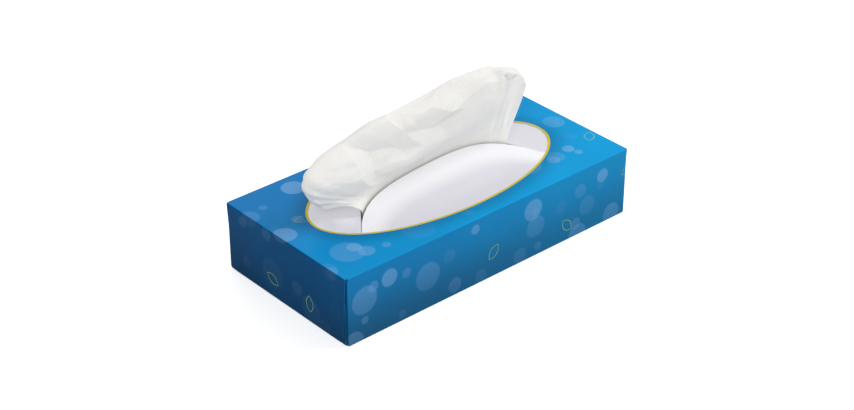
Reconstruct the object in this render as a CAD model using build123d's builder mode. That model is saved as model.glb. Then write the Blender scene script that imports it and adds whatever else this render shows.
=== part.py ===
"""Flat tissue box: folded board carton, slit window film, tissue stack and one pulled-up tissue."""
import math
import os

from build123d import *

# Carton, all sizes in mm
carton_length = 230.0
carton_width = 114.5
carton_height = 46.5
board = 0.45
fold_radius = 0.9
oval_end_margin = 24.15
oval_side_margin = 14.0

# End flaps and glue seam of the carton
outer_flap_gap = 0.9
outer_flap_inset = 0.9
outer_flap_taper = 2.8
outer_flap_corner = 3.0
inner_flap_reach = 28.8
inner_flap_inset = 2.0
dust_flap_reach = 41.2
dust_flap_slope = 6.0
seam_reach = 15.0
seam_end_gap = 9.0

# Window film, glued under the top panel
film_thickness = 0.25
film_margin = 9.0
slit_end_inset = 17.9
slit_shift = -2.0
slit_crown = 2.0
slit_rim_gap = 1.3
slit_power = 4
slit_end_width = 0.5
slit_gap = 8.0
slit_gap_power = 10
slit_gap_centre = 0.035
slit_gap_half = 0.905
tongue_rise = 8.2
tongue_rise_power = 2.2
tongue_skew = 0.55
tongue_start = 2.0
tongue_shortest = 0.8
back_rise = 3.2
back_skew = 0.9
back_run = 22.0
film_strips = 24
wave_stations = (0.0, 0.25, 0.5, 0.75, 1.0)

# Stack of interfolded tissues
stack_end_gap = 6.0
stack_side_gap = 6.0
stack_headroom = 8.7
stack_bundles = 11

# Pulled-up tissue: folds run from the slit to the ridge and down the back
tissue_thickness = 0.4
tissue_foot_left = 12.0
tissue_foot_right = 14.0
foot_pleat_share = 0.09
lip_gap = 1.5
lip_gap_share = 0.36
left_zone = 0.21
right_zone = 0.84
foot_fold_share = 0.1
hem_arch = 3.5
front_bulge = 9.0
back_bulge = 5.0
shoulder_low = 0.56
shoulder_high = 0.84
shoulder_centre = 0.55
shoulder_reach = 0.24
ridge_half_width = 3.4
ridge_fold_share = 0.4
front_tail = 45.0
back_tail = 28.0
tail_clearance = 0.05
tail_lift = 1.6
lip_clearance = 1.6
throat_depth = 2.4
# Share of the sheet's width, then how far back each fold stands: close pleats at both ends
folds = (
    (0.0, 0.6),
    (0.025, -1.6),
    (0.05, 1.2),
    (0.075, -1.8),
    (0.1, 1.4),
    (0.13, -1.6),
    (0.155, 1.0),
    (0.185, -1.0),
    (0.22, 0.0),
    (0.29, -1.0),
    (0.37, 0.6),
    (0.44, 2.6),
    (0.51, 0.0),
    (0.575, -3.0),
    (0.63, 2.2),
    (0.68, -0.4),
    (0.72, -2.6),
    (0.755, 1.6),
    (0.8, -2.2),
    (0.84, 2.8),
    (0.862, -1.8),
    (0.895, 0.8),
    (0.925, -1.6),
    (0.96, 1.2),
    (1.0, -0.6),
)
# Share of the sheet's width, then x and height over the carton's top on the folded ridge
ridge_points = (
    (0.0, -79.0, 3.6),
    (0.07, -90.0, 13.0),
    (0.14, -96.0, 24.0),
    (0.21, -95.0, 34.0),
    (0.28, -83.0, 40.5),
    (0.36, -65.0, 45.0),
    (0.44, -46.0, 51.5),
    (0.52, -27.0, 52.4),
    (0.62, -1.0, 54.0),
    (0.71, 22.0, 58.5),
    (0.79, 42.0, 58.8),
    (0.87, 58.0, 54.5),
    (0.94, 71.0, 50.0),
    (1.0, 77.0, 38.5),
)
ridge_back_left = 6.0
ridge_back_middle = 5.0
ridge_back_right = 0.0
# Share of the way up, bulge share and fold share of each row: from lip to shoulder, then on to the ridge
lower_rows = ((0.5, 0.8, 0.5), (1.0, 1.0, 0.85))
upper_rows = ((0.14, 0.88, 0.95), (0.62, 0.42, 1.0))
back_rows = ((0.84, 0.75, 1.0), (0.45, 1.0, 0.7))
# Shares of the way from a tail's hem to the slit, inward and along the stack, and of the tail's lift
front_tail_rows = ((0.0, 0.0, 0.0), (0.3, 0.4, 0.2), (0.7, 0.8, 1.0))
back_tail_rows = ((0.6, 0.7, 1.0), (0.0, 0.0, 0.0))

half_length = carton_length / 2
half_width = carton_width / 2
oval_x = half_length - oval_end_margin
oval_y = half_width - oval_side_margin
sleeve_half = half_length - 2 * board
sleeve_end = sleeve_half - fold_radius
panel_under = carton_height - board


def mix(start, end, share):
    return start + (end - start) * share


def smooth_step(share):
    return share * share * (3 - 2 * share)


# Carton: the half with one closed end is built, then mirrored
with BuildPart() as carton:
    # The four panels in one folded ring
    with BuildSketch(Plane.YZ):
        with Locations((0, carton_height / 2)):
            RectangleRounded(carton_width, carton_height, fold_radius)
            RectangleRounded(
                carton_width - 2 * board,
                carton_height - 2 * board,
                fold_radius - board,
                mode=Mode.SUBTRACT,
            )
    extrude(amount=sleeve_end)
    # Dust flaps: the rounded fold beside each long side, then the flap with its sloped corners
    flap_edge = half_width - dust_flap_reach
    flap_low = fold_radius
    flap_high = carton_height - fold_radius
    with BuildSketch(Plane.XY.offset(flap_low)):
        with BuildLine():
            Polyline(
                (sleeve_end - board, half_width),
                (sleeve_half, half_width),
                (sleeve_half, half_width - 2 * fold_radius),
                (sleeve_half - board, half_width - 2 * fold_radius),
                (sleeve_half - board, half_width - board),
                (sleeve_end - board, half_width - board),
                close=True,
            )
        make_face()
        fold_corner = vertices().sort_by_distance((sleeve_half, half_width, 0))[0]
        fillet(fold_corner, fold_radius)
        mirror(about=Plane.XZ)
    extrude(amount=flap_high - flap_low)
    with BuildSketch(Plane.YZ.offset(sleeve_half - board)):
        with BuildLine():
            Polyline(
                (half_width - fold_radius, flap_low),
                (flap_edge + dust_flap_slope, flap_low),
                (flap_edge, flap_low + dust_flap_slope),
                (flap_edge, flap_high - dust_flap_slope),
                (flap_edge + dust_flap_slope, flap_high),
                (half_width - fold_radius, flap_high),
                close=True,
            )
        make_face()
        mirror(about=Plane.YZ)
    extrude(amount=board)
    # Inner end flap, folded up from the base
    inner_half = half_width - inner_flap_inset
    with BuildSketch(Plane.XZ):
        with BuildLine():
            Polyline(
                (sleeve_end, 0),
                (half_length - board, 0),
                (half_length - board, inner_flap_reach),
                (sleeve_half, inner_flap_reach),
                (sleeve_half, board),
                (sleeve_end, board),
                close=True,
            )
        make_face()
        base_corner = vertices().sort_by_distance((half_length - board, 0, 0))[0]
        fillet(base_corner, fold_radius)
    extrude(amount=inner_half, both=True)
    # Outer end flap, folded down from the top panel over the inner one
    outer_half = half_width - outer_flap_inset
    with BuildSketch(Plane.XZ):
        with BuildLine():
            Polyline(
                (sleeve_end, carton_height),
                (half_length, carton_height),
                (half_length, outer_flap_gap),
                (half_length - board, outer_flap_gap),
                (half_length - board, panel_under),
                (sleeve_end, panel_under),
                close=True,
            )
        make_face()
        top_corner = vertices().sort_by_distance((half_length, carton_height, 0))[0]
        fillet(top_corner, fold_radius)
    extrude(amount=outer_half, both=True)
    # Taper on both side edges of the outer flap
    with BuildSketch(Plane.YZ.offset(half_length - board)):
        with BuildLine():
            Polyline(
                (outer_half, panel_under),
                (outer_half - outer_flap_taper, outer_flap_gap + outer_flap_corner),
                (outer_half - outer_flap_taper - outer_flap_corner, outer_flap_gap),
                (half_width, outer_flap_gap),
                (half_width, panel_under),
                close=True,
            )
        make_face()
        mirror(about=Plane.YZ)
    extrude(amount=board, mode=Mode.SUBTRACT)
    mirror(about=Plane.YZ)
    # Long glue seam inside the back panel
    with Locations((0, half_width - board, board)):
        Box(
            2 * (sleeve_half - seam_end_gap),
            board,
            seam_reach,
            align=(Align.CENTER, Align.MAX, Align.MIN),
        )
    # Oval opening in the top panel
    with BuildSketch(Plane.XY.offset(carton_height)):
        Ellipse(oval_x, oval_y)
    extrude(amount=-2 * board, mode=Mode.SUBTRACT)
carton.part.label = "carton"


# Window film: a flat border, and a slit whose two lips are pushed up
slit_half = oval_x - slit_end_inset
film_half_x = oval_x + film_margin
film_half_y = oval_y + film_margin
film_top = panel_under
film_low = film_top - film_thickness


def oval_edge(x):
    return oval_y * math.sqrt(1 - (x / oval_x) ** 2)


def slit_x(station):
    return slit_shift + slit_half * station


# The slit's left end stops just inside the oval's rim
slit_drop = slit_crown + oval_edge(slit_x(-1)) - slit_rim_gap


def slit_y(station):
    return slit_crown - slit_drop * station**slit_power


def slit_width(station):
    share = abs(station - slit_gap_centre) / slit_gap_half
    return max(slit_end_width, slit_gap * (1 - share**slit_gap_power))


def tongue_height(station):
    return tongue_rise * (1 - abs(station) ** tongue_rise_power) * (1 + tongue_skew * station)


def back_height(station):
    return back_rise * (1 - station**slit_power) * (1 + back_skew * station)


def film_section(station, flat_end, flat_edge, lip, rise):
    """Thin profile across the film, flat from its outer edge and curved up to the lip of the slit."""
    x = slit_x(station)
    wave = []
    for share in wave_stations:
        wave.append((mix(flat_edge, lip, share), film_low + rise * smooth_step(share)))
    level = Vector(0, math.copysign(1, lip - flat_end), 0)
    low = [Vector(x, y, z) for y, z in wave]
    high = [Vector(x, y, z + film_thickness) for y, z in wave]
    outer_low = Vector(x, flat_end, film_low)
    outer_high = Vector(x, flat_end, film_top)
    edges = [
        Edge.make_line(outer_low, low[0]),
        Edge.make_spline(low, tangents=[level, level]),
        Edge.make_line(low[-1], high[-1]),
        Edge.make_spline(high[::-1], tangents=[-level, -level]),
        Edge.make_line(high[0], outer_high),
        Edge.make_line(outer_high, outer_low),
    ]
    return Wire(edges)


front_sections = []
back_sections = []
for count in range(film_strips + 1):
    station = mix(-1, 1, count / film_strips)
    lip = slit_y(station)
    rim = -oval_edge(slit_x(station))
    start = min(rim + tongue_start, lip - tongue_shortest)
    front_sections.append(film_section(station, -film_half_y, start, lip, tongue_height(station)))
    back_lip = lip + slit_width(station)
    back_start = back_lip + back_run
    back_sections.append(film_section(station, film_half_y, back_start, back_lip, back_height(station)))

with BuildPart() as window_film:
    add(Solid.make_loft(front_sections, ruled=True))
    add(Solid.make_loft(back_sections, ruled=True))
    for outer_end, slit_end in ((-film_half_x, slit_x(-1)), (film_half_x, slit_x(1))):
        with Locations(((outer_end + slit_end) / 2, 0, film_low)):
            Box(
                abs(outer_end - slit_end),
                2 * film_half_y,
                film_thickness,
                align=(Align.CENTER, Align.CENTER, Align.MIN),
            )
window_film.part.label = "window_film"


# Stack: one block with a rounded fold for each bundle along both long sides
stack_length = 2 * (sleeve_half - board - stack_end_gap)
stack_width = carton_width - 4 * board - 2 * stack_side_gap
stack_height = panel_under - board - stack_headroom
bundle = stack_height / stack_bundles
stack_top = board + stack_height
core_width = stack_width - bundle
with BuildPart() as tissue_stack:
    with BuildSketch(Plane.YZ.offset(-stack_length / 2)):
        with Locations((0, board + stack_height / 2)):
            Rectangle(core_width, stack_height)
            with GridLocations(core_width, bundle, 2, stack_bundles):
                Circle(bundle / 2)
    extrude(amount=stack_length)
tissue_stack.part.label = "tissue_stack"


# Pulled-up tissue: one sheet, doubled over at the ridge, gathered at both ends of the slit
foot_left = slit_x(-1) + tissue_foot_left
foot_right = slit_x(1) - tissue_foot_right
foot_span = foot_right - foot_left
tail_half = stack_length / 2 - stack_end_gap
tail_level = stack_top + tail_clearance + tissue_thickness / 2


def foot_x(share):
    if share < left_zone:
        return foot_left + foot_span * foot_pleat_share * share / left_zone
    if share > right_zone:
        past = (share - right_zone) / (1 - right_zone)
        return foot_right - foot_span * foot_pleat_share * (1 - past)
    inside = (share - left_zone) / (right_zone - left_zone)
    return foot_left + foot_span * mix(foot_pleat_share, 1 - foot_pleat_share, inside)


def ridge_at(share):
    for low, high in zip(ridge_points, ridge_points[1:]):
        if share <= high[0]:
            part = (share - low[0]) / (high[0] - low[0])
            return mix(low[1], high[1], part), carton_height + mix(low[2], high[2], part)
    return ridge_points[-1][1], carton_height + ridge_points[-1][2]


def ridge_y(share):
    if share < left_zone:
        return mix(ridge_back_left, ridge_back_middle, share / left_zone)
    return mix(ridge_back_middle, ridge_back_right, ((share - left_zone) / (1 - left_zone)) ** 2)


def shoulder_rise(share):
    """Height share of the crease across the sheet's front, lowest near the middle."""
    away = min(1, abs(share - shoulder_centre) / shoulder_reach)
    return mix(shoulder_low, shoulder_high, away)


def tail_points(x_tail, y_tail, x_foot, y_foot, rows):
    """The part of a fold line that lies on the stack."""
    points = []
    for inward, along, lift in rows:
        level = tail_level + tail_lift * lift
        points.append(Vector(mix(x_tail, x_foot, inward), mix(y_tail, y_foot, along), level))
    return points


def sheet_line(share, fold):
    """One fold line from the front tail over the ridge to the back tail, and where its lips are."""
    x_foot = foot_x(share)
    station = (x_foot - slit_shift) / slit_half
    shift = foot_fold_share * fold
    width = slit_width(station)
    room = min(lip_gap, lip_gap_share * width)
    y_front = slit_y(station) + room + shift
    y_back = slit_y(station) + width - room + shift
    x_tail = mix(-tail_half, tail_half, share)
    x_ridge, z_ridge = ridge_at(share)
    y_ridge = ridge_y(share)
    belly = math.sin(math.pi * share)
    throat = film_low - throat_depth
    front_lip = film_top + tongue_height(station)
    back_lip = film_top + back_height(station)
    shoulder = shoulder_rise(share)
    arch = hem_arch * max(0, 1 - share / left_zone)
    front_rows = [(part * shoulder, bulge, depth) for part, bulge, depth in lower_rows]
    front_rows += [(mix(shoulder, 1, part), bulge, depth) for part, bulge, depth in upper_rows]
    points = tail_points(x_tail, -front_tail, x_foot, y_front, front_tail_rows)
    points.append(Vector(x_foot, y_front, throat))
    points.append(Vector(x_foot, y_front, front_lip))
    first_lip = len(points)
    front_lip += lip_clearance
    back_lip += lip_clearance
    points.append(Vector(x_foot, y_front, front_lip))
    for rise, bulge, depth in front_rows:
        y = mix(y_front, y_ridge - ridge_half_width, rise) - front_bulge * belly * bulge + fold * depth
        z = mix(front_lip, z_ridge, rise) + arch * math.sin(math.pi * rise)
        points.append(Vector(mix(x_foot, x_ridge, rise), y, z))
    points.append(Vector(x_ridge, y_ridge + fold * ridge_fold_share, z_ridge))
    for rise, bulge, depth in back_rows:
        y = mix(y_back, y_ridge + ridge_half_width, rise) + back_bulge * belly * bulge + fold * depth
        z = mix(back_lip, z_ridge, rise) + arch * math.sin(math.pi * rise)
        points.append(Vector(mix(x_foot, x_ridge, rise), y, z))
    last_lip = len(points)
    points.append(Vector(x_foot, y_back, back_lip))
    points.append(Vector(x_foot, y_back, back_lip - lip_clearance))
    points.append(Vector(x_foot, y_back, throat))
    points += tail_points(x_tail, back_tail, x_foot, y_back, back_tail_rows)
    return points, first_lip, last_lip


def smooth_line(points, first_lip, last_lip):
    """The fold line's points, with one more halfway along each span of a curve between the lips."""
    marks = [0.0]
    for low, high in zip(points, points[1:]):
        marks.append(marks[-1] + (high - low).length)
    marks = [mark / marks[-1] for mark in marks]
    curve = Edge.make_spline(points, parameters=marks)
    line = []
    for count, point in enumerate(points):
        line.append(point)
        if first_lip <= count < last_lip:
            halfway = (marks[count] + marks[count + 1]) / 2
            line.append(curve.position_at(halfway, position_mode=PositionMode.PARAMETER))
    return line


sheet = [smooth_line(*sheet_line(share, fold)) for share, fold in folds]
last_line = len(sheet) - 1
last_row = len(sheet[0]) - 1


def sheet_normal(line, row):
    if row in (0, last_row):
        return Vector(0, 0, 1)
    across = sheet[min(line + 1, last_line)][row] - sheet[max(line - 1, 0)][row]
    along = sheet[line][row + 1] - sheet[line][row - 1]
    return across.cross(along).normalized()


def sheet_side(direction):
    """Grid of points on one side of the sheet."""
    offset = direction * tissue_thickness / 2
    side_lines = []
    for line, points in enumerate(sheet):
        side_lines.append([point + sheet_normal(line, row) * offset for row, point in enumerate(points)])
    return side_lines


def flat_facets(first, second):
    """Two flat triangles for each step along a strip between two rows of points."""
    facets = []
    for step in range(len(first) - 1):
        facets.append(Face(Wire.make_polygon([first[step], second[step], second[step + 1]])))
        facets.append(Face(Wire.make_polygon([first[step], second[step + 1], first[step + 1]])))
    return facets


outside = sheet_side(1)
inside = sheet_side(-1)
sheet_faces = flat_facets(outside[0], inside[0]) + flat_facets(outside[-1], inside[-1])
for line in range(last_line):
    sheet_faces += flat_facets(outside[line], outside[line + 1])
    sheet_faces += flat_facets(inside[line], inside[line + 1])
for row in (0, last_row):
    hem = [points[row] for points in outside] + [points[row] for points in reversed(inside)]
    sheet_faces.append(Face(Wire.make_polygon(hem)))

with BuildPart() as popup_tissue:
    add(Solid(Shell(sheet_faces)))
popup_tissue.part.label = "popup_tissue"


os.makedirs("parts", exist_ok=True)
export_step(carton.part, "parts/carton.step")
export_step(window_film.part, "parts/window_film.step")
export_step(tissue_stack.part, "parts/tissue_stack.step")
export_step(popup_tissue.part, "parts/popup_tissue.step")
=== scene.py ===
"""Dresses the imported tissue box: printed carton, plastic film, paper stack and one pulled-up tissue."""
import math

import bpy
import numpy as np
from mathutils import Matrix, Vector
from mathutils.geometry import delaunay_2d_cdt


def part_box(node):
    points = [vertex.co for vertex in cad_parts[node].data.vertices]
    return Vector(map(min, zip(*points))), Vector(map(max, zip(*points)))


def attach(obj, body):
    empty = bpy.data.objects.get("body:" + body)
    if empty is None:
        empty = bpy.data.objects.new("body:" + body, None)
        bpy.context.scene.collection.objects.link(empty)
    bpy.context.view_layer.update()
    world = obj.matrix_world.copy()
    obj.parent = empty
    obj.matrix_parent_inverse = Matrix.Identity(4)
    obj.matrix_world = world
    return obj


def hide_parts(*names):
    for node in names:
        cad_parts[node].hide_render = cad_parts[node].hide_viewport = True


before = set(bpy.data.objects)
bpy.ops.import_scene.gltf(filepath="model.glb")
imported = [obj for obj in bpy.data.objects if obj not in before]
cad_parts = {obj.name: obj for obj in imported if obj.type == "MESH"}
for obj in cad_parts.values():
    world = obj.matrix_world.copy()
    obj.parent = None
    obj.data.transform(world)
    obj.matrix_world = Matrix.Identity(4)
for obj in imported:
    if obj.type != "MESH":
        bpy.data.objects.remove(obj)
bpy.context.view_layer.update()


def linear(red, green, blue):
    """A colour as seen on screen, 0 to 255, as the linear values that a shader takes."""
    values = []
    for value in (red, green, blue):
        part = value / 255
        values.append(part / 12.92 if part <= 0.04045 else ((part + 0.055) / 1.055) ** 2.4)
    return (*values, 1.0)


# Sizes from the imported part, in metres
MM = 0.001
carton_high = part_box("carton")[1]
half_length = carton_high.x
half_width = carton_high.y
carton_top = carton_high.z
film_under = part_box("window_film")[0].z
stack_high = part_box("tissue_stack")[1]
board = 0.45 * MM

# Oval opening, as in the part's source
oval_x = half_length - 24.15 * MM
oval_y = half_width - 14.0 * MM

# Slit of the film and its two raised lips, as in the part's source
panel_under = carton_top - board
slit_half = oval_x - 17.9 * MM
slit_shift = -2.0 * MM
slit_crown = 2.0 * MM
slit_power = 4
slit_rim_gap = 1.3 * MM
slit_left = slit_shift - slit_half
slit_drop = slit_crown + oval_y * math.sqrt(1 - (slit_left / oval_x) ** 2) - slit_rim_gap
slit_gap = 8.0 * MM
slit_end_width = 0.5 * MM
slit_gap_centre = 0.035
slit_gap_half = 0.905
slit_gap_power = 10
tongue_rise = 8.2 * MM
tongue_rise_power = 2.2
tongue_skew = 0.55
back_rise = 3.2 * MM
back_skew = 0.9

# Pulled-up tissue: its foot, lips, bulges, tails and ridge line, as in the part's source
sheet_flat = (216 * MM, 200 * MM)
foot_left = slit_left + 12 * MM
foot_right = slit_shift + slit_half - 14 * MM
foot_pleat_share = 0.09
foot_fold_share = 0.1
lip_gap = 1.5 * MM
lip_gap_share = 0.36
lip_clearance = 1.6 * MM
throat = film_under - 2.4 * MM
hem_arch = 3.5 * MM
left_zone = 0.21
right_zone = 0.84
front_bulge = 9.0 * MM
back_bulge = 5.0 * MM
front_tail = 45 * MM
back_tail = 28 * MM
tail_inset = 6 * MM
tail_lift = 1.6 * MM
tail_level = stack_high.z + 0.25 * MM
ridge_half_width = 3.4 * MM
ridge_back_left = 6.0 * MM
ridge_back_middle = 5.0 * MM
# Share of the width, then millimetres along the carton and above its top
ridge_points = (
    (0.0, -79.0, 3.6),
    (0.07, -90.0, 13.0),
    (0.14, -96.0, 24.0),
    (0.21, -95.0, 34.0),
    (0.28, -83.0, 40.5),
    (0.36, -65.0, 45.0),
    (0.44, -46.0, 51.5),
    (0.52, -27.0, 52.4),
    (0.62, -1.0, 54.0),
    (0.71, 22.0, 58.5),
    (0.79, 42.0, 58.8),
    (0.87, 58.0, 54.5),
    (0.94, 71.0, 50.0),
    (1.0, 77.0, 38.5),
)

# Folds and shoulder of the tissue, unlike the part's source: dents take the place of its middle folds
shoulder_low = 0.46
shoulder_high = 0.86
shoulder_centre = 0.46
shoulder_reach = 0.33
ridge_fold_share = 0.1
# Folds: share of the width, millimetres towards the back
folds = (
    (0.0, 0.6),
    (0.025, -1.4),
    (0.05, 1.0),
    (0.075, -1.4),
    (0.1, 1.2),
    (0.13, -1.2),
    (0.155, 1.0),
    (0.185, -0.8),
    (0.22, 0.0),
    (0.7, 0.0),
    (0.78, -1.0),
    (0.805, 0.2),
    (0.835, 2.8),
    (0.855, -2.4),
    (0.88, 0.4),
    (0.905, -1.4),
    (0.93, 1.4),
    (0.96, -1.2),
    (1.0, 0.6),
)
# Dents of the front: share of the width, share of the way from slit to ridge, push in millimetres
dents = (
    (0.08, 0.5, -0.6),
    (0.14, 0.25, -2.2),
    (0.2, 0.6, 0.6),
    (0.21, 0.3, -0.8),
    (0.25, 0.75, 1.0),
    (0.285, 0.5, 2.8),
    (0.27, 0.2, 1.2),
    (0.32, 0.28, -2.4),
    (0.335, 0.5, -1.8),
    (0.33, 0.82, 1.0),
    (0.385, 0.78, -4.2),
    (0.456, 0.7, -4.8),
    (0.506, 0.79, -2.2),
    (0.41, 0.95, 2.4),
    (0.48, 0.96, 2.4),
    (0.53, 0.95, -0.8),
    (0.38, 0.5, -1.8),
    (0.45, 0.45, -1.4),
    (0.45, 0.2, 0.0),
    (0.564, 0.7, -3.4),
    (0.609, 0.62, -3.4),
    (0.57, 0.86, 1.8),
    (0.61, 0.87, 2.0),
    (0.65, 0.72, 1.2),
    (0.53, 0.48, -1.0),
    (0.6, 0.4, -0.4),
    (0.65, 0.28, 0.2),
    (0.7, 0.6, 0.2),
    (0.74, 0.3, 1.8),
    (0.69, 0.87, -1.0),
    (0.79, 0.8, -1.6),
    (0.76, 0.5, 0.8),
    (0.85, 0.84, -1.0),
    (0.905, 0.7, -2.4),
    (0.885, 0.84, 1.0),
    (0.945, 0.8, 0.6),
    (0.87, 0.5, 0.8),
)
dent_border_stops = 9
dent_border_past = 0.1

# Rows of the sheet: share of the way up, bulge share and fold share
lower_rows = ((0.5, 0.88, 0.3), (1.0, 0.86, 0.6))
upper_rows = ((0.14, 0.78, 0.8), (0.62, 0.42, 1.0))
back_rows = ((0.84, 0.75, 1.0), (0.45, 1.0, 0.7))
# Rows of the tails: share of the way in to the foot, share of the way to the lip, share of the lift
front_tail_rows = ((0.0, 0.0, 0.0), (0.3, 0.4, 0.2), (0.7, 0.8, 1.0))
back_tail_rows = ((0.6, 0.7, 1.0), (0.0, 0.0, 0.0))
throat_rows = 2
first_lip = len(front_tail_rows) + throat_rows
crease_row = first_lip + len(lower_rows)
ridge_row = crease_row + len(upper_rows) + 1
last_lip = ridge_row + len(back_rows) + 1
crease_share = 0.8

# Fineness of the sheet's mesh, and how far its lines are smoothed, in columns and lines
sheet_columns = 400
steps_seen = 20
steps_hidden = 4
fold_soft = 2
ridge_soft = 4
normal_soft_lines = 12
normal_soft_columns = 8

# Crumpling above the slit: size of the facets, depth and seed
fine_crumple = (12 * MM, 0.7 * MM, 63)
back_crumple = (16 * MM, 4.4 * MM, 3)
crumple_scatter = 0.42
crumple_start = 8 * MM
crumple_fade = 16 * MM
ridge_calm_share = 0.9
ridge_calm_lines = 20

# Tolerances of the facets and the sheet's lines
join_tolerance = 1e-7
inside_tolerance = 1e-5
least_reach = 1e-9
least_normal = 1e-12

# Printed ground of the carton, with painted shade towards the base and on the ends
face_limit = 0.7
blue_left = linear(0, 116, 182)
blue_right = linear(6, 154, 214)
blue_side = linear(44, 140, 190)
# Painted shade: colours that darken the ground towards the base and on the ends
base_painted_shade = linear(26, 82, 118)
end_painted_shade = linear(0, 50, 92)
blue_cloud = linear(16, 96, 150)
right_share = 0.75
near_share = 0.6
side_share = 0.3
# Shares of the painted shade on the ends and towards the base
end_shade_share = 0.75
base_shade_top = 0.12
base_shade_foot = 0.95
base_shade_right = 0.65
cloud_scale = 16
cloud_low = 0.35
cloud_high = 0.75
cloud_share = 0.14

# Printed dots: cell, radius and strength of each layer, and where its cells start
dot_layers = (
    (36 * MM, 8.2 * MM, 0.42, (0.31, 0.12, 0)),
    (27 * MM, 5.6 * MM, 0.3, (0.48, 0.35, 0)),
    (48 * MM, 11.2 * MM, 0.26, (0.65, 0.58, 0)),
)
dot_colour = linear(132, 180, 226)
dot_scatter = 0.62
dot_least = 0.55
dot_soft_edge = 0.03
dot_chance_low = 0.12
dot_chance_high = 0.85
dot_end_loss = 0.75
dot_foot_share = 0.4

# Printed leaf outlines
leaf_colour = linear(150, 190, 70)
leaf_start = (0.07, 0.41, 0)
leaf_cell = 52 * MM
leaf_scatter = 0.6
leaf_half = 5.6 * MM
leaf_wide = 3.2 * MM
leaf_tip = 1.02
leaf_line_core = 0.12 * MM
leaf_line_edge = 0.3 * MM
leaf_least_tint = 0.45
leaf_strength = 0.85

# Printed shade and line round the oval
halo_colour = linear(12, 70, 110)
halo_reach = 15 * MM
halo_share = 0.42
line_colour = linear(204, 184, 24)
line_width = 1.35 * MM
line_edge = 0.2 * MM

# Bare board and the carton's surface
bare_dark = linear(196, 190, 176)
bare_pale = linear(222, 218, 206)
bare_fibre_scale = 900
bare_roughness = 0.85
print_roughness = 0.42
print_specular = 0.04
board_grain_scale = 700
board_wave_scale = 45
board_wave_share = 3.0
board_relief = 0.02 * MM

# Plastic film
film_tone = linear(217, 216, 226)
# Painted highlight on the raised tongue near the slit's lip, and how far from the lip it fades
film_painted_highlight = linear(243, 243, 248)
film_highlight_near = 10 * MM
film_highlight_far = 26 * MM
film_wave_scale = 28
film_ripple_scale = 140
film_ripple_share = 0.15
film_relief = 0.3 * MM
film_roughness = 0.34
film_ior = 1.49
film_scatter = 0.15
film_scatter_radius = (0.01, 0.01, 0.012)
film_scatter_scale = 0.2

# Tissue paper
paper_dark = linear(238, 236, 232)
paper_pale = linear(250, 248, 244)
paper_mottle_scale = 60
paper_roughness = 0.92
paper_ior = 1.3
paper_sheen = 0.15
paper_sheen_roughness = 0.6
stack_stretch = (40, 40, 2600)
stack_relief = 0.3 * MM
crepe_stretch = (70, 900, 1)
crepe_relief = 0.22 * MM
fibre_scale = 1500
fibre_share = 0.25
glow_colour = linear(250, 250, 248)
glow_share = 0.15

# Embossed band of the tissue, in metres along and across the flat sheet
emboss_cell = 1.6 * MM
emboss_dot_low = 0.1
emboss_dot_high = 0.45
emboss_share = 0.9
emboss_front = (86 * MM, 90 * MM)
emboss_back = (108 * MM, 112 * MM)
emboss_left = (72 * MM, 82 * MM)
emboss_patch_scale = 22
emboss_patch_low = 0.38
emboss_patch_high = 0.55

# Studio: floor, world and lamps
white = (1, 1, 1, 1)
floor_size = 8
floor_level = -0.2 * MM
floor_tone = (0.8, 0.8, 0.8, 1)
floor_lift = 0.53
world_light = 0.38
world_seen = 1.0
lamp_size = 1.0
lamps = (
    ("key_lamp", (1.1, -0.4, 1.3), 15),
    ("front_lamp", (-1.1, -1.2, 1.1), 16),
    ("back_lamp", (0.5, 1.5, 0.9), 7),
)

# Camera fitted to the carton's corners in the photograph
image_width = 854
focal_pixels = 1960.6
sensor_width = 36.0
camera_place = Vector((-0.69088, -0.78367, 0.65546))
camera_azimuth = math.radians(-41.245)
camera_elevation = math.radians(31.122)


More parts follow.
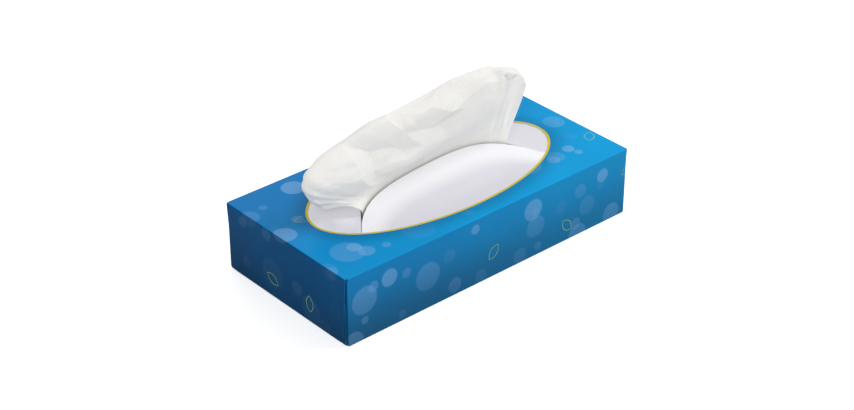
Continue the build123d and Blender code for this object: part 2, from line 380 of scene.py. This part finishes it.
class Nodes:
    """Short helper for building the nodes of a material or a world."""

    def __init__(self, owner, output="ShaderNodeOutputMaterial"):
        self.owner = owner
        owner.use_nodes = True
        self.tree = owner.node_tree
        self.tree.nodes.clear()
        self.output = self.add(output)

    def add(self, kind, **settings):
        node = self.tree.nodes.new(kind)
        for key, value in settings.items():
            setattr(node, key, value)
        return node

    def feed(self, socket, value):
        if isinstance(value, bpy.types.NodeSocket):
            self.tree.links.new(value, socket)
        else:
            socket.default_value = value

    def math(self, operation, first, second=0.0, clamp=False):
        node = self.add("ShaderNodeMath", operation=operation, use_clamp=clamp)
        self.feed(node.inputs[0], first)
        self.feed(node.inputs[1], second)
        return node.outputs[0]

    def times(self, first, *others):
        for other in others:
            first = self.math("MULTIPLY", first, other)
        return first

    def vector(self, operation, first, second):
        node = self.add("ShaderNodeVectorMath", operation=operation)
        self.feed(node.inputs[0], first)
        self.feed(node.inputs[1], second)
        return node.outputs["Value" if operation == "DOT_PRODUCT" else "Vector"]

    def ramp(self, value, low, high, to_low=0.0, to_high=1.0):
        node = self.add("ShaderNodeMapRange", interpolation_type="SMOOTHSTEP")
        for socket, number in zip(node.inputs, (value, low, high, to_low, to_high)):
            self.feed(socket, number)
        return node.outputs[0]

    def mix(self, factor, first, second):
        node = self.add("ShaderNodeMix", data_type="RGBA")
        self.feed(node.inputs["Factor"], factor)
        self.feed(node.inputs[6], first)
        self.feed(node.inputs[7], second)
        return node.outputs[2]

    def combine(self, x, y):
        node = self.add("ShaderNodeCombineXYZ")
        self.feed(node.inputs[0], x)
        self.feed(node.inputs[1], y)
        return node.outputs[0]

    def split(self, vector):
        node = self.add("ShaderNodeSeparateXYZ")
        self.feed(node.inputs[0], vector)
        return node.outputs

    def noise(self, vector, scale, detail=2.0, roughness=0.5):
        node = self.add("ShaderNodeTexNoise")
        self.feed(node.inputs["Vector"], vector)
        node.inputs["Scale"].default_value = scale
        node.inputs["Detail"].default_value = detail
        node.inputs["Roughness"].default_value = roughness
        return node.outputs["Fac"]

    def cells(self, vector, size, randomness):
        node = self.add("ShaderNodeTexVoronoi", voronoi_dimensions="2D")
        self.feed(node.inputs["Vector"], vector)
        node.inputs["Scale"].default_value = 1 / size
        node.inputs["Randomness"].default_value = randomness
        return node.outputs

    def bump(self, height, distance):
        node = self.add("ShaderNodeBump")
        node.inputs["Strength"].default_value = 1.0
        node.inputs["Distance"].default_value = distance
        self.feed(node.inputs["Height"], height)
        return node.outputs[0]

    def place(self):
        return self.add("ShaderNodeTexCoord").outputs["Object"]

    def shader(self, kind, **values):
        node = self.add(kind)
        for key, value in values.items():
            self.feed(node.inputs[key.replace("_", " ")], value)
        return node.outputs[0]

    def blend(self, factor, first, second):
        node = self.add("ShaderNodeMixShader")
        for socket, value in zip(node.inputs, (factor, first, second)):
            self.feed(socket, value)
        return node.outputs[0]

    def show(self, shader):
        self.feed(self.output.inputs[0], shader)
        return self.owner


def print_ground(m, x, y, drop, on_side, on_end, flat):
    """Blue ground: lighter to the right and to the front, darker towards the base with partly printed and
    partly painted shade, and darker on the ends with painted shade.
    """
    walls = m.math("MAXIMUM", on_side, on_end)
    near = m.times(m.ramp(y, half_width, -half_width, 0.0, near_share), m.math("SUBTRACT", 1.0, walls))
    light = m.math("ADD", m.ramp(x, -half_length, half_length, 0.0, right_share), near, clamp=True)
    ground = m.mix(light, blue_left, blue_right)
    ground = m.mix(m.times(on_side, side_share), ground, blue_side)
    # Painted shade, partly print: darker towards the base, more so at the left
    depth = m.ramp(drop, 0.0, carton_top, base_shade_top, base_shade_foot)
    base_shade_leftward = m.ramp(x, -half_length, half_length, 1.0, base_shade_right)
    ground = m.mix(m.times(depth, base_shade_leftward, walls), ground, base_painted_shade)
    # Painted shade on the ends, standing in for the weaker light there
    ground = m.mix(m.times(on_end, end_shade_share), ground, end_painted_shade)
    cloud = m.ramp(m.noise(flat, cloud_scale, detail=1.0), cloud_low, cloud_high, 0.0, cloud_share)
    return m.mix(cloud, ground, blue_cloud)


def pale_dots(m, colour, flat, drop, on_end):
    """Soft pale dots in three sizes, fainter on the ends and towards the base."""
    on_panel = m.math("SUBTRACT", 1.0, m.times(on_end, dot_end_loss))
    above = m.ramp(drop, 0.0, carton_top, 1.0, dot_foot_share)
    for cell_size, radius, strength, start in dot_layers:
        cell = m.cells(m.vector("ADD", flat, start), cell_size, dot_scatter)
        tint = m.split(cell["Color"])
        reach = m.times(m.ramp(tint[0], 0.0, 1.0, dot_least, 1.0), radius / cell_size)
        core = m.math("SUBTRACT", reach, dot_soft_edge)
        dot = m.ramp(cell["Distance"], core, reach, 1.0, 0.0)
        chance = m.ramp(tint[1], dot_chance_low, dot_chance_high, 0.0, strength)
        colour = m.mix(m.times(dot, chance, on_panel, above), colour, dot_colour)
    return colour


def leaf_outlines(m, colour, flat):
    """Thin leaf outlines, turned at random."""
    place = m.vector("ADD", flat, leaf_start)
    cell = m.cells(place, leaf_cell, leaf_scatter)
    tint = m.split(cell["Color"])
    turned = m.add("ShaderNodeVectorRotate", rotation_type="Z_AXIS")
    m.feed(turned.inputs["Vector"], m.vector("SUBTRACT", place, cell["Position"]))
    m.feed(turned.inputs["Angle"], m.times(tint[2], 2 * math.pi))
    leaf_x, leaf_y, _ = m.split(turned.outputs[0])
    bow = m.math("SUBTRACT", 1.0, m.math("POWER", m.math("DIVIDE", leaf_x, leaf_half), 2.0))
    edge = m.math("SUBTRACT", m.math("ABSOLUTE", leaf_y), m.times(bow, leaf_wide))
    rim = m.ramp(m.math("ABSOLUTE", edge), leaf_line_core, leaf_line_edge, 1.0, 0.0)
    within = m.math("LESS_THAN", m.math("ABSOLUTE", leaf_x), leaf_half * leaf_tip)
    some = m.math("GREATER_THAN", tint[0], leaf_least_tint)
    return m.mix(m.times(rim, within, some, leaf_strength), colour, leaf_colour)


def oval_border(m, colour, x, y, on_top):
    """Soft shade round the oval, then its yellow line."""
    shares = [m.math("DIVIDE", x, oval_x), m.math("DIVIDE", y, oval_y)]
    slopes = [m.math("DIVIDE", share, half) for share, half in zip(shares, (oval_x, oval_y))]
    share, slope = [
        m.math("SQRT", m.math("ADD", m.math("POWER", first, 2.0), m.math("POWER", second, 2.0)))
        for first, second in (shares, slopes)
    ]
    away = m.math("DIVIDE", m.math("SUBTRACT", share, 1.0), m.math("DIVIDE", slope, share))
    halo = m.times(m.ramp(away, 0.0, halo_reach, halo_share, 0.0), on_top)
    colour = m.mix(halo, colour, halo_colour)
    line = m.times(m.ramp(away, line_width, line_width + line_edge, 1.0, 0.0), on_top)
    return m.mix(line, colour, line_colour)


def printed_board():
    """Blue print with pale dots and leaf outlines outside, bare grey board wherever a face looks inwards."""
    m = Nodes(bpy.data.materials.new("printed_board"))
    place = m.place()
    x, y, z = m.split(place)
    normal = m.add("ShaderNodeNewGeometry").outputs["Normal"]
    on_end, on_side, on_top = [
        m.math("GREATER_THAN", m.math("ABSOLUTE", part), face_limit) for part in m.split(normal)
    ]
    # The panels laid flat, so that the print runs on over the folds
    drop = m.math("SUBTRACT", carton_top, z)
    flat_x = m.math("ADD", x, m.times(m.math("SIGN", x), drop, on_end))
    flat_y = m.math("ADD", y, m.times(m.math("SIGN", y), drop, on_side))
    flat = m.combine(flat_x, flat_y)
    colour = print_ground(m, x, y, drop, on_side, on_end, flat)
    colour = pale_dots(m, colour, flat, drop, on_end)
    colour = leaf_outlines(m, colour, flat)
    colour = oval_border(m, colour, x, y, on_top)
    outward = m.vector("DOT_PRODUCT", normal, m.vector("SUBTRACT", place, (0, 0, carton_top / 2)))
    inside = m.math("LESS_THAN", outward, 0.0)
    fibres = m.noise(place, bare_fibre_scale, detail=3.0, roughness=0.6)
    grain = m.noise(place, board_grain_scale, detail=3.0, roughness=0.6)
    waves = m.times(m.noise(place, board_wave_scale), board_wave_share)
    return m.show(m.shader(
        "ShaderNodeBsdfPrincipled",
        Base_Color=m.mix(inside, colour, m.mix(fibres, bare_dark, bare_pale)),
        Roughness=m.ramp(inside, 0.0, 1.0, print_roughness, bare_roughness),
        Normal=m.bump(m.math("ADD", grain, waves), board_relief),
        Specular_IOR_Level=print_specular,
    ))


def plastic_film():
    """Milky soft plastic with faint waves, with a painted highlight that makes the raised tongue paler near
    its lip.
    """
    m = Nodes(bpy.data.materials.new("plastic_film"))
    place = m.place()
    ripples = m.times(m.noise(place, film_ripple_scale), film_ripple_share)
    waves = m.math("ADD", m.noise(place, film_wave_scale), ripples)
    x, y, _ = m.split(place)
    # Painted highlight: the tongue is paler near its lip, where light falls on it
    station = m.math("DIVIDE", m.math("SUBTRACT", x, slit_shift), slit_half)
    fall = m.times(m.math("POWER", m.math("ABSOLUTE", station), slit_power), slit_drop)
    from_lip = m.math("SUBTRACT", m.math("SUBTRACT", slit_crown, fall), y)
    lip_highlight = m.ramp(from_lip, film_highlight_near, film_highlight_far, 1.0, 0.0)
    lip_highlight = m.times(lip_highlight, m.math("GREATER_THAN", from_lip, 0.0))
    return m.show(m.shader(
        "ShaderNodeBsdfPrincipled",
        Base_Color=m.mix(lip_highlight, film_tone, film_painted_highlight),
        Roughness=film_roughness,
        Normal=m.bump(waves, film_relief),
        IOR=film_ior,
        Subsurface_Weight=film_scatter,
        Subsurface_Radius=film_scatter_radius,
        Subsurface_Scale=film_scatter_scale,
    ))


def paper_shader(m, place, height, relief):
    """Soft white paper with the given relief."""
    mottle = m.noise(place, paper_mottle_scale, detail=3.0)
    return m.shader(
        "ShaderNodeBsdfPrincipled",
        Base_Color=m.mix(mottle, paper_dark, paper_pale),
        Roughness=paper_roughness,
        Normal=m.bump(height, relief),
        IOR=paper_ior,
        Sheen_Weight=paper_sheen,
        Sheen_Roughness=paper_sheen_roughness,
    )


def stacked_paper():
    """Paper in thin level layers."""
    m = Nodes(bpy.data.materials.new("stacked_paper"))
    place = m.place()
    layers = m.noise(m.vector("MULTIPLY", place, stack_stretch), scale=1.0)
    return m.show(paper_shader(m, place, layers, stack_relief))


def embossing(m, sheet_place):
    """Rows of small dots in patches of a band along the sheet's ridge."""
    dots = m.cells(sheet_place, emboss_cell, randomness=0.0)["Distance"]
    across, along, _ = m.split(sheet_place)
    patches = m.noise(sheet_place, emboss_patch_scale, detail=1.0)
    return m.times(
        m.ramp(dots, emboss_dot_low, emboss_dot_high),
        m.ramp(along, *emboss_front),
        m.ramp(along, *emboss_back, 1.0, 0.0),
        m.ramp(across, *emboss_left),
        m.ramp(patches, emboss_patch_low, emboss_patch_high),
    )


def tissue_paper():
    """One thin sheet with crepe lines, loose fibres and an embossed band, which lets some light through."""
    m = Nodes(bpy.data.materials.new("tissue_paper"))
    place = m.place()
    sheet_place = m.add("ShaderNodeUVMap", uv_map="sheet").outputs[0]
    crepe = m.noise(m.vector("MULTIPLY", sheet_place, crepe_stretch), scale=1.0, roughness=0.6)
    fibres = m.times(m.noise(place, fibre_scale, roughness=0.6), fibre_share)
    height = m.math("ADD", crepe, fibres)
    height = m.math("ADD", height, m.times(embossing(m, sheet_place), emboss_share))
    paper = paper_shader(m, place, height, crepe_relief)
    glow = m.shader("ShaderNodeBsdfTranslucent", Color=glow_colour)
    return m.show(m.blend(glow_share, paper, glow))


def mix(start, end, share):
    """A value some share of the way between two others."""
    return start + (end - start) * share


def softened(values, width):
    """Values in a line across or along the sheet, smoothed over some steps to each side."""
    spread = 3 * width
    reach = np.arange(-spread, spread + 1)
    weights = np.exp(-0.5 * (reach / width) ** 2)
    padded = np.pad(values, spread, mode="edge")
    return np.convolve(padded, weights / weights.sum(), mode="valid")


def fold_line(shares):
    """How far the folds stand back along the width."""
    marks, depths = np.array(folds).T
    return softened(np.interp(shares, marks, depths * MM), fold_soft)


def foot_line(shares):
    """Where the sheet crosses the slit, pleated closer at both hems."""
    pleats = (foot_right - foot_left) * foot_pleat_share
    stops = (foot_left, foot_left + pleats, foot_right - pleats, foot_right)
    return np.interp(shares, (0, left_zone, right_zone, 1), stops)


def ridge_line(shares):
    """The sheet's top edge, where it doubles over."""
    marks, places, rises = np.array(ridge_points).T
    x_ridge = softened(np.interp(shares, marks, places * MM), ridge_soft)
    z_ridge = softened(carton_top + np.interp(shares, marks, rises * MM), ridge_soft)
    past = np.clip((shares - left_zone) / (1 - left_zone), 0, 1)
    left = mix(ridge_back_left, ridge_back_middle, shares / left_zone)
    y_ridge = np.where(shares < left_zone, left, ridge_back_middle * (1 - past**2))
    return x_ridge, y_ridge, z_ridge


def slit_lips(x_foot, fold):
    """Depth and height of the sheet over the front lip and over the back lip of the slit."""
    station = (x_foot - slit_shift) / slit_half
    gap_share = np.abs(station - slit_gap_centre) / slit_gap_half
    gap = np.maximum(slit_end_width, slit_gap * (1 - gap_share**slit_gap_power))
    room = np.minimum(lip_gap, lip_gap_share * gap)
    slit_y = slit_crown - slit_drop * station**slit_power
    shift = foot_fold_share * fold
    tongue = tongue_rise * (1 - np.abs(station) ** tongue_rise_power) * (1 + tongue_skew * station)
    back = back_rise * (1 - station**slit_power) * (1 + back_skew * station)
    front_lip = (slit_y + room + shift, panel_under + tongue + lip_clearance)
    back_lip = (slit_y + gap - room + shift, panel_under + back + lip_clearance)
    return front_lip, back_lip


def front_climb(shares):
    """Rows of the front, from the lip to its shoulder and on to the ridge."""
    away = np.minimum(1, np.abs(shares - shoulder_centre) / shoulder_reach)
    shoulder = mix(shoulder_low, shoulder_high, away)
    climb = [(part * shoulder, bulge, depth) for part, bulge, depth in lower_rows]
    climb += [(mix(shoulder, 1, part), bulge, depth) for part, bulge, depth in upper_rows]
    return climb


def row(x, y, z):
    """One row of points across the sheet."""
    return np.stack(np.broadcast_arrays(x, y, z), axis=1)


def tail_rows(shares, x_foot, y_lip, tail_end, courses):
    """Rows of a tail that lies on the stack under the film."""
    tail_half = stack_high.x - tail_inset
    x_tail = mix(-tail_half, tail_half, shares)
    rows = []
    for inward, along, lift in courses:
        x = mix(x_tail, x_foot, inward)
        y = mix(tail_end, y_lip, along)
        rows.append(row(x, y, tail_level + tail_lift * lift))
    return rows


def wall_rows(shares, x_foot, lip, ridge, fullest, courses):
    """Rows between a lip and the ridge, where the fullest bulge is negative towards the front."""
    y_lip, z_lip = lip
    x_ridge, y_ridge, z_ridge = ridge
    y_top = y_ridge + math.copysign(ridge_half_width, fullest)
    belly = fullest * np.sin(np.pi * shares)
    arch = hem_arch * np.maximum(0, 1 - shares / left_zone)
    fold = fold_line(shares)
    rows = []
    for rise, bulge, depth in courses:
        y = mix(y_lip, y_top, rise) + belly * bulge + fold * depth
        z = mix(z_lip, z_ridge, rise) + arch * np.sin(np.pi * rise)
        rows.append(row(mix(x_foot, x_ridge, rise), y, z))
    return rows


def tissue_rows(shares):
    """The sheet's rows of points, from the front tail over the ridge to the back tail."""
    fold = fold_line(shares)
    x_foot = foot_line(shares)
    ridge = ridge_line(shares)
    x_ridge, y_ridge, z_ridge = ridge
    front_lip, back_lip = slit_lips(x_foot, fold)
    y_front, z_front = front_lip
    y_back, z_back = back_lip
    rows = tail_rows(shares, x_foot, y_front, -front_tail, front_tail_rows)
    rows += [row(x_foot, y_front, z) for z in (throat, z_front - lip_clearance, z_front)]
    rows += wall_rows(shares, x_foot, front_lip, ridge, -front_bulge, front_climb(shares))
    rows.append(row(x_ridge, y_ridge + fold * ridge_fold_share, z_ridge))
    rows += wall_rows(shares, x_foot, back_lip, ridge, back_bulge, back_rows)
    rows += [row(x_foot, y_back, z) for z in (z_back, z_back - lip_clearance, throat)]
    rows += tail_rows(shares, x_foot, y_back, back_tail, back_tail_rows)
    return np.array(rows)


def curve_points(start, end, leave, arrive, steps):
    """Points on the smooth curve that leaves one row and arrives at the next."""
    points = []
    for count in range(steps):
        t = count / steps
        points.append(
            start * (2 * t**3 - 3 * t**2 + 1)
            + leave * (t**3 - 2 * t**2 + t)
            + end * (-2 * t**3 + 3 * t**2)
            + arrive * (t**3 - t**2)
        )
    return points


def smooth_lines(rows):
    """Points on a smooth curve through each column of rows, closer where the sheet is seen."""
    step = np.diff(rows, axis=0)
    reach = np.maximum(np.linalg.norm(step, axis=2, keepdims=True), least_reach)
    course = step / reach
    inner = (course[1:] * reach[:-1] + course[:-1] * reach[1:]) / (reach[1:] + reach[:-1])
    leave = np.concatenate([course[:1], inner, course[-1:]])
    arrive = leave.copy()
    # The shoulder of the front keeps a crease
    arrive[crease_row] = mix(arrive[crease_row], course[crease_row - 1], crease_share)
    leave[crease_row] = mix(leave[crease_row], course[crease_row], crease_share)
    points = []
    for number in range(len(rows) - 1):
        ends = rows[number], rows[number + 1]
        slopes = leave[number] * reach[number], arrive[number + 1] * reach[number]
        steps = steps_seen if first_lip <= number < last_lip else steps_hidden
        points += curve_points(*ends, *slopes, steps)
    points.append(rows[-1])
    return np.array(points)


def soft_normals(points):
    """Normals without the sharp folds, so that pushing along them never turns the sheet inside out."""
    normals = np.cross(np.gradient(points, axis=1), np.gradient(points, axis=0))
    normals = normals / np.maximum(np.linalg.norm(normals, axis=2, keepdims=True), least_normal)
    for axis, width in ((0, normal_soft_lines), (1, normal_soft_columns)):
        normals = np.apply_along_axis(softened, axis, normals, width)
    return normals / np.linalg.norm(normals, axis=2, keepdims=True)


def faceted(places, spots, rises):
    """Height of flat facets with sharp creases: points with given rises, joined by triangles."""
    spots = [Vector(spot) for spot in spots]
    corners, _, triangles, *_ = delaunay_2d_cdt(spots, [], [], 0, join_tolerance)
    height = np.zeros(places.shape[:2])
    for triangle in triangles:
        first, second, third = [np.array(corners[corner]) for corner in triangle]
        low, mid, high = [rises[corner] for corner in triangle]
        across, along = second - first, third - first
        area = across[0] * along[1] - across[1] * along[0]
        off = places - first
        part = (off[..., 0] * along[1] - off[..., 1] * along[0]) / area
        rest = (across[0] * off[..., 1] - across[1] * off[..., 0]) / area
        inside = (part >= -inside_tolerance) & (rest >= -inside_tolerance)
        inside &= part + rest <= 1 + inside_tolerance
        height[inside] = (low + (mid - low) * part + (high - low) * rest)[inside]
    return height


def crumple(places, size, depth, seed):
    """Facets between points scattered over the sheet, up to the given depth in and out."""
    chooser = np.random.default_rng(seed)
    width, length = sheet_flat
    columns, rows = np.meshgrid(np.arange(-1, width / size + 2), np.arange(-1, length / size + 2))
    grid = np.stack([columns.ravel(), rows.ravel()], axis=1)
    spots = (grid + chooser.uniform(-crumple_scatter, crumple_scatter, grid.shape)) * size
    return depth * faceted(places, spots, chooser.uniform(-1, 1, len(spots)))


def dented(shares, course, slit, ridge):
    """Facets of the dents on the sheet's front, level with the rest at the slit and at the ridge."""
    stops = np.linspace(-dent_border_past, 1 + dent_border_past, dent_border_stops)
    border = [(share, edge, 0) for share in stops for edge in (0, 1)]
    across, along, push = np.array([*dents, *border]).T
    front = course[ridge] - course[slit]
    spots = np.stack([across * sheet_flat[0], along * front], axis=1)
    places = np.stack(np.meshgrid(shares * sheet_flat[0], course - course[slit]), axis=2)
    return faceted(places, spots, push * MM)


def sheet_push(points, places, shares, course):
    """How far the sheet is pushed out: dented in front, crumpled above the slit and more so behind."""
    slit = steps_hidden * first_lip
    ridge = slit + steps_seen * (ridge_row - first_lip)
    lines = np.arange(len(points))[:, None]
    over = np.clip((points[:, :, 2] - carton_top - crumple_start) / crumple_fade, 0, 1)
    calm = 1 - ridge_calm_share * np.exp(-(((lines - ridge) / ridge_calm_lines) ** 2))
    push = crumple(places, *fine_crumple) + crumple(places, *back_crumple) * (lines > ridge)
    return push * over * calm + dented(shares, course, slit, ridge)


def sheet_mesh(name, points, places):
    """Mesh of a grid of points, with the places on the flat sheet as its map."""
    mesh = bpy.data.meshes.new(name)
    index = np.arange(points[..., 0].size).reshape(points.shape[:2])
    quads = np.stack([index[:-1, :-1], index[:-1, 1:], index[1:, 1:], index[1:, :-1]], axis=2)
    mesh.from_pydata(points.reshape(-1, 3).tolist(), [], quads.reshape(-1, 4).tolist())
    layer = mesh.uv_layers.new(name="sheet")
    corners = np.empty(len(mesh.loops), dtype=np.int32)
    mesh.loops.foreach_get("vertex_index", corners)
    layer.data.foreach_set("uv", places.reshape(-1, 2)[corners].ravel())
    mesh.shade_smooth()
    return mesh


def pulled_up_tissue():
    """The top tissue as one open sheet: off the stack, up through the slit, over the ridge and back."""
    shares = np.linspace(0, 1, sheet_columns)
    points = smooth_lines(tissue_rows(shares))
    course = np.linalg.norm(np.diff(points, axis=0), axis=2).mean(axis=1)
    course = np.concatenate([[0], np.cumsum(course)])
    lengths = course / course[-1]
    places = np.stack(np.meshgrid(shares * sheet_flat[0], lengths * sheet_flat[1]), axis=2)
    push = sheet_push(points, places, shares, course)
    points = points + soft_normals(points) * push[:, :, None]
    mesh = sheet_mesh("popup_tissue_sheet", points, places)
    mesh.materials.append(tissue_paper())
    sheet = bpy.data.objects.new("popup_tissue_sheet", mesh)
    bpy.context.collection.objects.link(sheet)
    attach(sheet, "root")
    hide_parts("popup_tissue")


def dress(node, material):
    """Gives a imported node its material."""
    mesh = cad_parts[node].data
    mesh.materials.clear()
    mesh.materials.append(material)


def studio_floor():
    """Pale floor that the camera sees as nearly white, with the object's shadow on it."""
    bpy.ops.mesh.primitive_plane_add(size=floor_size, location=(0, 0, floor_level))
    floor = bpy.context.object
    floor.name = "studio_floor"
    m = Nodes(bpy.data.materials.new("studio_floor"))
    paint = m.shader("ShaderNodeBsdfDiffuse", Color=floor_tone)
    lift = m.shader("ShaderNodeEmission", Color=white, Strength=floor_lift)
    lifted = m.add("ShaderNodeAddShader")
    m.feed(lifted.inputs[0], paint)
    m.feed(lifted.inputs[1], lift)
    seen = m.add("ShaderNodeLightPath").outputs["Is Camera Ray"]
    floor.data.materials.append(m.show(m.blend(seen, paint, lifted.outputs[0])))


def studio_world():
    """Soft light from all round, which camera, gloss and clear parts see as white."""
    m = Nodes(bpy.data.worlds.new("studio_world"), "ShaderNodeOutputWorld")
    light = m.shader("ShaderNodeBackground", Color=white, Strength=world_light)
    backdrop = m.shader("ShaderNodeBackground", Color=white, Strength=world_seen)
    path = m.add("ShaderNodeLightPath").outputs
    seen = path["Is Camera Ray"]
    for kind in ("Is Glossy Ray", "Is Transmission Ray"):
        seen = m.math("MAXIMUM", seen, path[kind])
    bpy.context.scene.world = m.show(m.blend(seen, light, backdrop))


def studio_lamps():
    """Large soft lamps that look at the carton's top."""
    target = Vector((0, 0, carton_top))
    for name, place, power in lamps:
        lamp = bpy.data.lights.new(name, "AREA")
        lamp.size = lamp_size
        lamp.energy = power
        holder = bpy.data.objects.new(name, lamp)
        holder.location = place
        holder.rotation_mode = "QUATERNION"
        holder.rotation_quaternion = (target - Vector(place)).to_track_quat("-Z", "Y")
        bpy.context.collection.objects.link(holder)


def photo_camera():
    """Camera at the photograph's viewing angle."""
    lens = bpy.data.cameras.new("photo_camera")
    lens.sensor_width = sensor_width
    lens.lens = focal_pixels * sensor_width / image_width
    camera = bpy.data.objects.new("photo_camera", lens)
    level = math.cos(camera_elevation)
    back = Vector((
        math.sin(camera_azimuth) * level,
        -math.cos(camera_azimuth) * level,
        math.sin(camera_elevation),
    ))
    camera.location = camera_place
    camera.rotation_mode = "QUATERNION"
    camera.rotation_quaternion = (-back).to_track_quat("-Z", "Y")
    bpy.context.collection.objects.link(camera)
    bpy.context.scene.camera = camera


dress("carton", printed_board())
dress("window_film", plastic_film())
dress("tissue_stack", stacked_paper())
pulled_up_tissue()

bpy.context.scene.view_settings.view_transform = "Standard"
studio_floor()
studio_world()
studio_lamps()
photo_camera()
